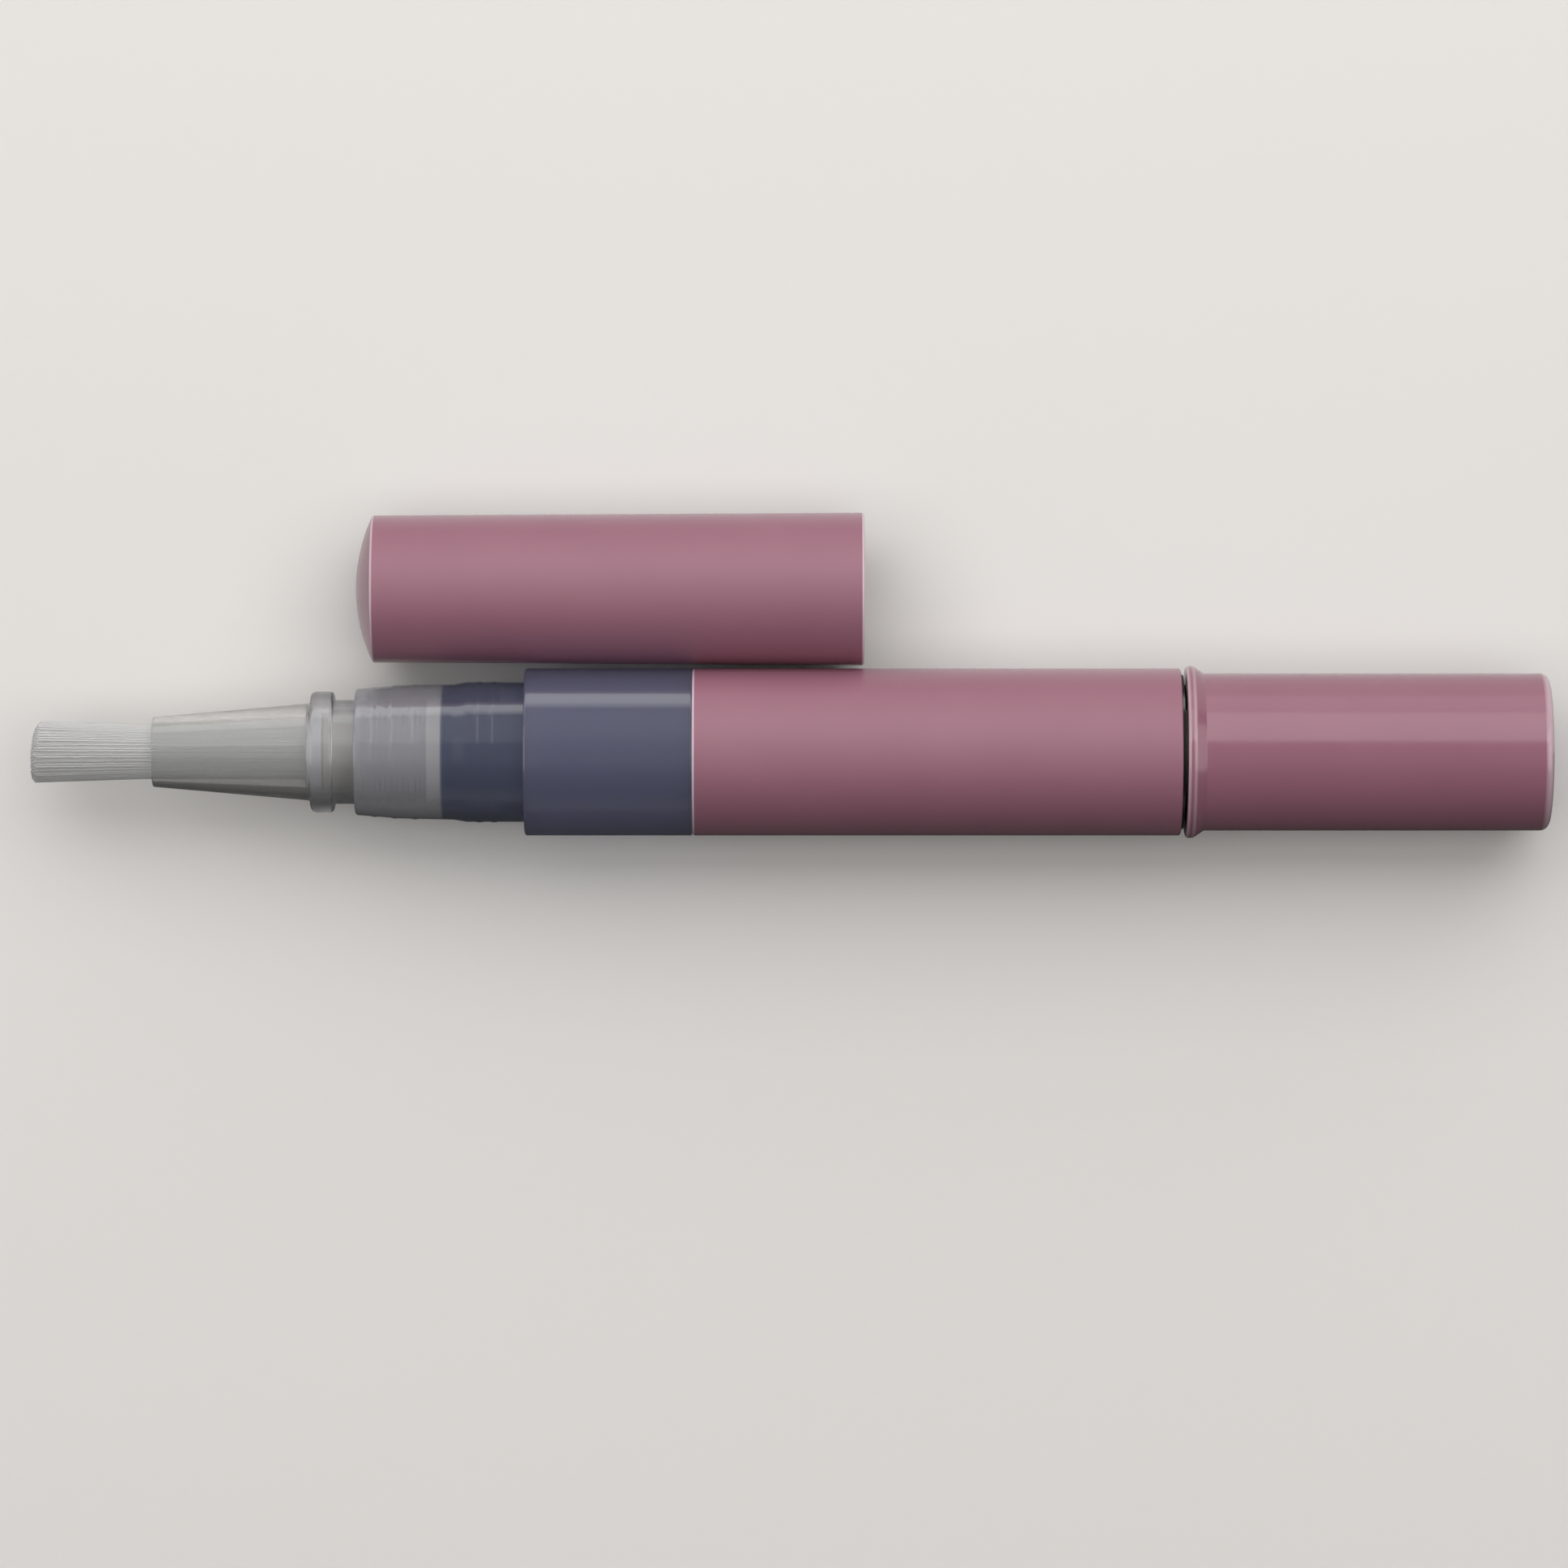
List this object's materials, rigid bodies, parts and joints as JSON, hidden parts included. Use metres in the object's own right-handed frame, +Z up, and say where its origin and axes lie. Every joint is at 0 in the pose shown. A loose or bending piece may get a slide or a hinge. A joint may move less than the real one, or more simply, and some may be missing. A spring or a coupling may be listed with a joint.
{
  "type": "nail oil pen",
  "caption": "Twist-feed nail oil pen with a soft round brush, clear nozzle and window, pink sleeve and click knob, with its pull-off domed cap lying alongside.",
  "frame": {"origin": "middle of the whole part, on the surface that it lies on", "axes": "+X along the pen from the brush to the knob, +Y towards the cap, +Z up"},
  "size_m": [0.1182, 0.0254, 0.0134],
  "materials": {
    "nylon_bristle": "fine nylon filaments",
    "natural_plastic": "natural moulded polyethylene",
    "white_plastic": "moulded satin",
    "clear_plastic": "clear moulded polypropylene",
    "frosted_plastic": "slightly frosted moulded plastic",
    "pink_satin": "satin moulded",
    "pink_gloss": "glossy moulded",
    "seal_rubber": "moulded rubber"
  },
  "bodies": {
    "pen_body": {"barrel": "frosted_plastic", "outer_sleeve": "pink_satin", "nozzle": "clear_plastic", "brush_bristles": "nylon_bristle", "brush_holder": "white_plastic", "feed_tube": "natural_plastic", "feed_nut": "white_plastic", "ratchet_ring": "white_plastic", "retaining_collar": "white_plastic"},
    "twist_knob": {"twist_knob": "pink_gloss", "knob_core": "white_plastic", "drive_sleeve": "white_plastic", "pawl_ring": "natural_plastic"},
    "lead_screw": {"lead_screw": "white_plastic"},
    "piston": {"piston": "natural_plastic", "piston_seal": "seal_rubber"},
    "cap": {"cap_shell": "pink_satin", "cap_liner": "natural_plastic"}
  },
  "joints": [
    {"name": "knob_twist", "type": "hinge", "parent": "pen_body", "child": "twist_knob", "pos_m": [0.04527, -0.00598, 0.0067], "axis": [-1, 0, 0], "range_deg": [0, 5400]},
    {"name": "screw_feed", "type": "slide", "parent": "twist_knob", "child": "lead_screw", "axis": [-1, 0, 0], "range_m": [0, 0.03]},
    {"name": "piston_feed", "type": "slide", "parent": "pen_body", "child": "piston", "axis": [-1, 0, 0], "range_m": [0, 0.03]},
    {"name": "cap_slide", "type": "slide", "parent": "pen_body", "child": "cap", "axis": [-1, 0, 0], "range_m": [0, 0.07]}
  ],
  "couplings": [
    {"joint": "knob_twist", "follows": "piston_feed", "rad_per_m": 3141.6},
    {"joint": "screw_feed", "follows": "piston_feed", "ratio": 1}
  ]
}
